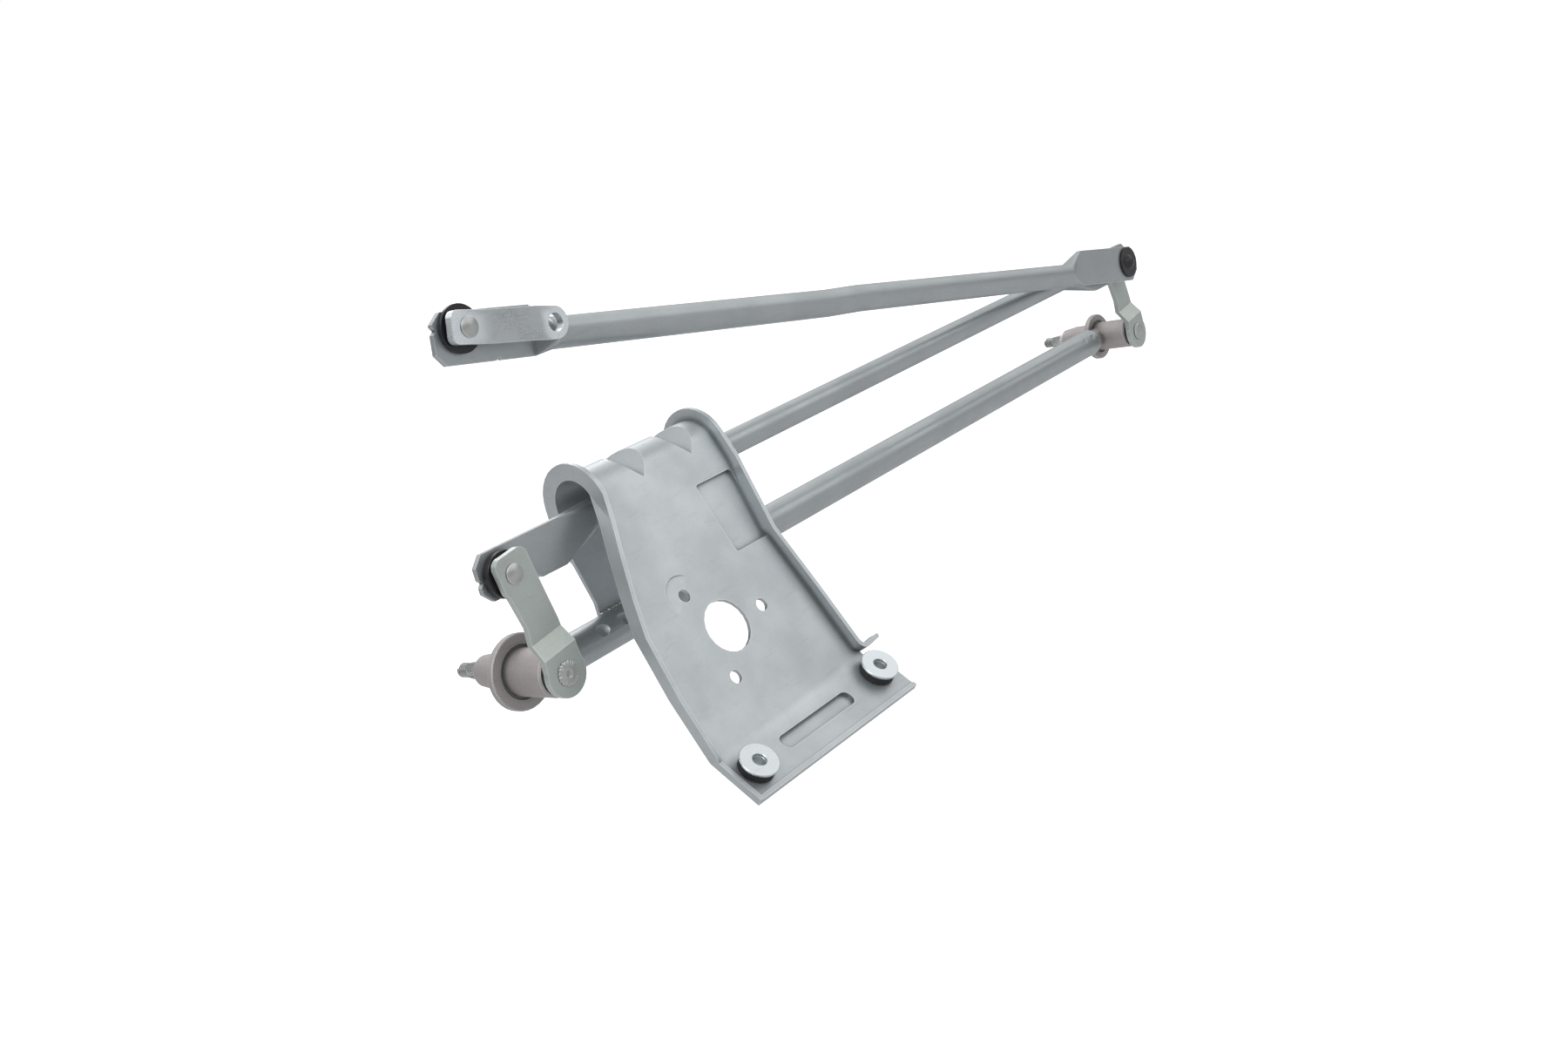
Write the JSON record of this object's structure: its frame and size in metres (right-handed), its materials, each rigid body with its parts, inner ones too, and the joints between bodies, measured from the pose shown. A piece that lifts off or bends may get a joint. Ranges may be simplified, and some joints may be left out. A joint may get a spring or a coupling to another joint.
{
  "type": "windshield wiper linkage",
  "caption": "Wiper linkage on a tube frame with a folded motor bracket, splined spindles, joggled levers, ball-jointed rods and a loose crank, without the motor.",
  "frame": {"origin": "on the near spindle's axis, in the plane of the near housing's collar face that seats against the body panel", "axes": "+X along the frame tube from the near pivot to the far pivot, +Y along the wiper spindles towards their threaded ends, +Z the way the levers stand at rest"},
  "size_m": [0.6822, 0.1789, 0.2669],
  "materials": {
    "galvanised_sheet": "dull galvanised, faintly clouded",
    "tube_zinc": "grey zinc plate, satin",
    "lever_zinc": "grey-green zinc plate, satin",
    "bright_zinc": "bright zinc plate",
    "die_cast_zinc": "die cast, slightly rough",
    "spindle_steel": "machined steel",
    "bush_bronze": "sintered, dull",
    "black_plastic": "moulded, satin",
    "black_rubber": "matt"
  },
  "bodies": {
    "frame": {"frame_tube": "tube_zinc", "motor_bracket": "galvanised_sheet", "near_pivot_housing": "die_cast_zinc", "far_pivot_housing": "die_cast_zinc", "near_lever_side_bush": "bush_bronze", "near_nose_side_bush": "bush_bronze", "far_lever_side_bush": "bush_bronze", "far_nose_side_bush": "bush_bronze", "near_thrust_washer": "spindle_steel", "far_thrust_washer": "spindle_steel", "near_seal_ring": "black_rubber", "far_seal_ring": "black_rubber", "foot_grommet_left": "black_rubber", "foot_grommet_right": "black_rubber", "grommet_sleeve_left": "bright_zinc", "grommet_sleeve_right": "bright_zinc", "grommet_washer_left": "bright_zinc", "grommet_washer_right": "bright_zinc"},
    "near_lever_shaft": {"near_spindle": "spindle_steel", "near_lever": "lever_zinc", "near_ball_stud": "spindle_steel", "near_circlip": "spindle_steel"},
    "far_lever_shaft": {"far_spindle": "spindle_steel", "far_lever": "lever_zinc", "far_ball_stud": "spindle_steel", "far_circlip": "spindle_steel"},
    "link": {"link_rod": "tube_zinc", "link_rod_near_socket": "black_plastic", "link_rod_far_liner": "black_plastic"},
    "drive": {"drive_rod": "tube_zinc", "drive_rod_far_socket": "black_plastic", "drive_rod_crank_socket": "black_plastic"},
    "crank": {"motor_crank": "bright_zinc", "crank_ball_stud": "spindle_steel"}
  },
  "joints": [
    {"name": "far_lever_swing", "type": "hinge", "parent": "frame", "child": "far_lever_shaft", "pos_m": [0.643, 0, 0], "axis": [0, 1, 0], "range_deg": [-50, 50]},
    {"name": "near_lever_swing", "type": "hinge", "parent": "frame", "child": "near_lever_shaft", "pos_m": [0, 0, 0], "axis": [0, 1, 0], "range_deg": [-50, 50]},
    {"name": "link_rod_pivot", "type": "hinge", "parent": "far_lever_shaft", "child": "link", "pos_m": [0.6353, -0.021, 0.0556], "axis": [0, 1, 0], "range_deg": [-50, 50]},
    {"name": "drive_rod_pivot", "type": "hinge", "parent": "far_lever_shaft", "child": "drive", "pos_m": [0.6353, -0.0278, 0.0556], "axis": [0, 1, 0], "range_deg": [-50, 50]},
    {"name": "crank_turn", "type": "hinge", "parent": "drive", "child": "crank", "pos_m": [0.00643, -0.0278, 0.17443], "axis": [0, 1, 0], "continuous": true}
  ],
  "couplings": [
    {"joint": "near_lever_swing", "follows": "far_lever_swing", "ratio": 1},
    {"joint": "link_rod_pivot", "follows": "far_lever_swing", "ratio": -1},
    {"joint": "drive_rod_pivot", "follows": "far_lever_swing", "ratio": -1}
  ]
}
